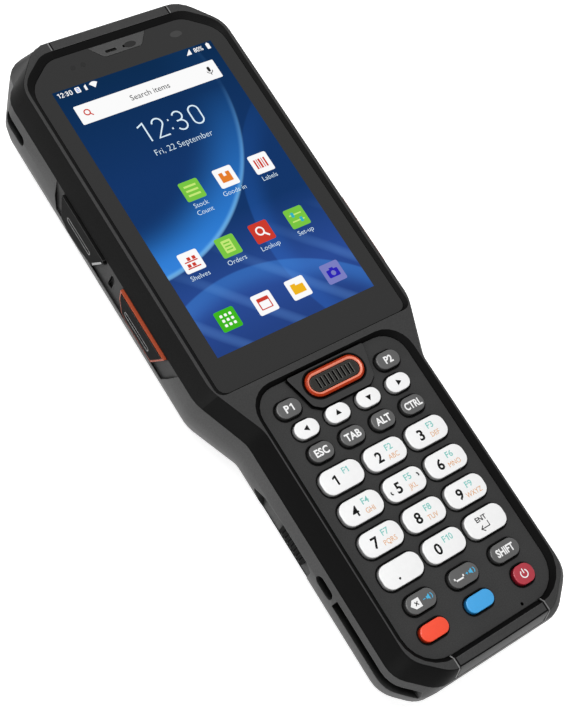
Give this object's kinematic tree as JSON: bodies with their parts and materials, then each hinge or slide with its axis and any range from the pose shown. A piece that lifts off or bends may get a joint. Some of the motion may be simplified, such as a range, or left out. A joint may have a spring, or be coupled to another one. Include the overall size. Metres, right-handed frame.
{
  "type": "portable barcode data terminal",
  "caption": "Rugged handheld data terminal: wide display head with a scan window, slimmer grip with a moulded keypad, side scan buttons and a clip-in battery.",
  "frame": {"origin": "centre of the bounding box's underside, on the surface that the back rests on", "axes": "+X to the right seen from the display side, +Y towards the display head, +Z out of the display"},
  "size_m": [0.0742, 0.2038, 0.0294],
  "materials": {
    "front_shell": "fine spark-eroded texture, satin",
    "rear_shell": "fine spark-eroded texture, matt",
    "bumper": "smooth satin",
    "cover_glass": "polished, back-printed charcoal border",
    "lcd": "polarising film",
    "grille": "fine texture",
    "circuit_board": "solder mask",
    "spring_steel": "bright, as stamped",
    "frame_alloy": "as die-cast",
    "engine_block": "moulded",
    "scan_glass": "polished dark red filter",
    "camera_bezel": "polished",
    "seal_rubber": "moulded silicone",
    "screw_steel": "black oxide",
    "orange_plastic": "satin",
    "grip_rubber": "moulded, matt",
    "battery_shell": "fine spark-eroded texture, matt",
    "battery_wrap": "shrink film",
    "flap_rubber": "moulded, matt",
    "white_key": "satin, printed black legend",
    "grey_key": "satin, printed white legend",
    "orange_key": "satin",
    "blue_key": "satin",
    "red_key": "satin, printed white symbol"
  },
  "bodies": {
    "root": {"front_housing": "front_shell", "rear_housing": "rear_shell", "top_bumper": "bumper", "bottom_bumper": "bumper", "display_glass": "cover_glass", "lcd_panel": "lcd", "receiver_mesh": "grille", "keypad_panel": "front_shell", "scan_key_bezel": "front_shell", "keypad_board": "circuit_board", "dome_switches": "spring_steel", "main_board": "circuit_board", "mid_frame": "frame_alloy", "scan_engine": "engine_block", "scan_window": "scan_glass", "rear_camera": "camera_bezel", "loudspeaker": "engine_block", "charge_connector": "spring_steel", "housing_seal": "seal_rubber", "housing_screws": "screw_steel"},
    "battery_pack": {"battery_cover": "battery_shell", "battery_cell": "battery_wrap"},
    "port_flap": {"port_flap": "flap_rubber"},
    "scan_key": {"scan_key_ring": "orange_plastic", "scan_key_pad": "grip_rubber"},
    "left_scan_button": {"left_scan_frame": "orange_plastic", "left_scan_insert": "grip_rubber"},
    "right_scan_button": {"right_scan_frame": "orange_plastic", "right_scan_insert": "grip_rubber"},
    "volume_rocker": {"volume_key": "grip_rubber"},
    "latch_left": {"latch_left": "rear_shell"},
    "latch_right": {"latch_right": "rear_shell"},
    "key_p1": {"key_p1": "grey_key"},
    "key_p2": {"key_p2": "grey_key"},
    "key_left": {"key_left": "white_key"},
    "key_up": {"key_up": "white_key"},
    "key_down": {"key_down": "white_key"},
    "key_right": {"key_right": "white_key"},
    "key_esc": {"key_esc": "grey_key"},
    "key_tab": {"key_tab": "grey_key"},
    "key_alt": {"key_alt": "grey_key"},
    "key_ctrl": {"key_ctrl": "grey_key"},
    "key_1": {"key_1": "white_key"},
    "key_2": {"key_2": "white_key"},
    "key_3": {"key_3": "white_key"},
    "key_4": {"key_4": "white_key"},
    "key_5": {"key_5": "white_key"},
    "key_6": {"key_6": "white_key"},
    "key_7": {"key_7": "white_key"},
    "key_8": {"key_8": "white_key"},
    "key_9": {"key_9": "white_key"},
    "key_dot": {"key_dot": "white_key"},
    "key_0": {"key_0": "white_key"},
    "key_enter": {"key_enter": "white_key"},
    "key_backspace": {"key_backspace": "grey_key"},
    "key_space": {"key_space": "grey_key"},
    "key_shift": {"key_shift": "grey_key"},
    "key_orange": {"key_orange": "orange_key"},
    "key_blue": {"key_blue": "blue_key"},
    "key_power": {"key_power": "red_key"}
  },
  "joints": [
    {"name": "lift_out_battery", "type": "slide", "parent": "root", "child": "battery_pack", "axis": [0, 0, -1], "range_m": [0, 0.022]},
    {"name": "swing_port_flap", "type": "hinge", "parent": "root", "child": "port_flap", "pos_m": [0, -0.10087, 0.0096], "axis": [1, 0, 0], "range_deg": [0, 100], "stiffness_Nm_per_rad": 0.0005},
    {"name": "press_scan", "type": "slide", "parent": "root", "child": "scan_key", "axis": [0, 0, -1], "range_m": [0, 0.0006], "stiffness_N_per_m": 1500},
    {"name": "press_left_scan", "type": "slide", "parent": "root", "child": "left_scan_button", "axis": [1, 0, 0], "range_m": [0, 0.0006], "stiffness_N_per_m": 1500},
    {"name": "press_right_scan", "type": "slide", "parent": "root", "child": "right_scan_button", "axis": [-1, 0, 0], "range_m": [0, 0.0006], "stiffness_N_per_m": 1500},
    {"name": "rock_volume", "type": "hinge", "parent": "root", "child": "volume_rocker", "pos_m": [-0.0335, 0.04575, 0.0193], "axis": [0, 0, 1], "range_deg": [-2, 2], "stiffness_Nm_per_rad": 0.3},
    {"name": "slide_latch_left", "type": "slide", "parent": "root", "child": "latch_left", "axis": [0, -1, 0], "range_m": [0, 0.003], "stiffness_N_per_m": 400},
    {"name": "slide_latch_right", "type": "slide", "parent": "root", "child": "latch_right", "axis": [0, -1, 0], "range_m": [0, 0.003], "stiffness_N_per_m": 400},
    {"name": "press_p1", "type": "slide", "parent": "root", "child": "key_p1", "axis": [0, 0, -1], "range_m": [0, 0.0006], "stiffness_N_per_m": 1500},
    {"name": "press_p2", "type": "slide", "parent": "root", "child": "key_p2", "axis": [0, 0, -1], "range_m": [0, 0.0006], "stiffness_N_per_m": 1500},
    {"name": "press_left", "type": "slide", "parent": "root", "child": "key_left", "axis": [0, 0, -1], "range_m": [0, 0.0006], "stiffness_N_per_m": 1500},
    {"name": "press_up", "type": "slide", "parent": "root", "child": "key_up", "axis": [0, 0, -1], "range_m": [0, 0.0006], "stiffness_N_per_m": 1500},
    {"name": "press_down", "type": "slide", "parent": "root", "child": "key_down", "axis": [0, 0, -1], "range_m": [0, 0.0006], "stiffness_N_per_m": 1500},
    {"name": "press_right", "type": "slide", "parent": "root", "child": "key_right", "axis": [0, 0, -1], "range_m": [0, 0.0006], "stiffness_N_per_m": 1500},
    {"name": "press_esc", "type": "slide", "parent": "root", "child": "key_esc", "axis": [0, 0, -1], "range_m": [0, 0.0006], "stiffness_N_per_m": 1500},
    {"name": "press_tab", "type": "slide", "parent": "root", "child": "key_tab", "axis": [0, 0, -1], "range_m": [0, 0.0006], "stiffness_N_per_m": 1500},
    {"name": "press_alt", "type": "slide", "parent": "root", "child": "key_alt", "axis": [0, 0, -1], "range_m": [0, 0.0006], "stiffness_N_per_m": 1500},
    {"name": "press_ctrl", "type": "slide", "parent": "root", "child": "key_ctrl", "axis": [0, 0, -1], "range_m": [0, 0.0006], "stiffness_N_per_m": 1500},
    {"name": "press_1", "type": "slide", "parent": "root", "child": "key_1", "axis": [0, 0, -1], "range_m": [0, 0.0006], "stiffness_N_per_m": 1500},
    {"name": "press_2", "type": "slide", "parent": "root", "child": "key_2", "axis": [0, 0, -1], "range_m": [0, 0.0006], "stiffness_N_per_m": 1500},
    {"name": "press_3", "type": "slide", "parent": "root", "child": "key_3", "axis": [0, 0, -1], "range_m": [0, 0.0006], "stiffness_N_per_m": 1500},
    {"name": "press_4", "type": "slide", "parent": "root", "child": "key_4", "axis": [0, 0, -1], "range_m": [0, 0.0006], "stiffness_N_per_m": 1500},
    {"name": "press_5", "type": "slide", "parent": "root", "child": "key_5", "axis": [0, 0, -1], "range_m": [0, 0.0006], "stiffness_N_per_m": 1500},
    {"name": "press_6", "type": "slide", "parent": "root", "child": "key_6", "axis": [0, 0, -1], "range_m": [0, 0.0006], "stiffness_N_per_m": 1500},
    {"name": "press_7", "type": "slide", "parent": "root", "child": "key_7", "axis": [0, 0, -1], "range_m": [0, 0.0006], "stiffness_N_per_m": 1500},
    {"name": "press_8", "type": "slide", "parent": "root", "child": "key_8", "axis": [0, 0, -1], "range_m": [0, 0.0006], "stiffness_N_per_m": 1500},
    {"name": "press_9", "type": "slide", "parent": "root", "child": "key_9", "axis": [0, 0, -1], "range_m": [0, 0.0006], "stiffness_N_per_m": 1500},
    {"name": "press_dot", "type": "slide", "parent": "root", "child": "key_dot", "axis": [0, 0, -1], "range_m": [0, 0.0006], "stiffness_N_per_m": 1500},
    {"name": "press_0", "type": "slide", "parent": "root", "child": "key_0", "axis": [0, 0, -1], "range_m": [0, 0.0006], "stiffness_N_per_m": 1500},
    {"name": "press_enter", "type": "slide", "parent": "root", "child": "key_enter", "axis": [0, 0, -1], "range_m": [0, 0.0006], "stiffness_N_per_m": 1500},
    {"name": "press_backspace", "type": "slide", "parent": "root", "child": "key_backspace", "axis": [0, 0, -1], "range_m": [0, 0.0006], "stiffness_N_per_m": 1500},
    {"name": "press_space", "type": "slide", "parent": "root", "child": "key_space", "axis": [0, 0, -1], "range_m": [0, 0.0006], "stiffness_N_per_m": 1500},
    {"name": "press_shift", "type": "slide", "parent": "root", "child": "key_shift", "axis": [0, 0, -1], "range_m": [0, 0.0006], "stiffness_N_per_m": 1500},
    {"name": "press_orange", "type": "slide", "parent": "root", "child": "key_orange", "axis": [0, 0, -1], "range_m": [0, 0.0006], "stiffness_N_per_m": 1500},
    {"name": "press_blue", "type": "slide", "parent": "root", "child": "key_blue", "axis": [0, 0, -1], "range_m": [0, 0.0006], "stiffness_N_per_m": 1500},
    {"name": "press_power", "type": "slide", "parent": "root", "child": "key_power", "axis": [0, 0, -1], "range_m": [0, 0.0006], "stiffness_N_per_m": 1500}
  ]
}
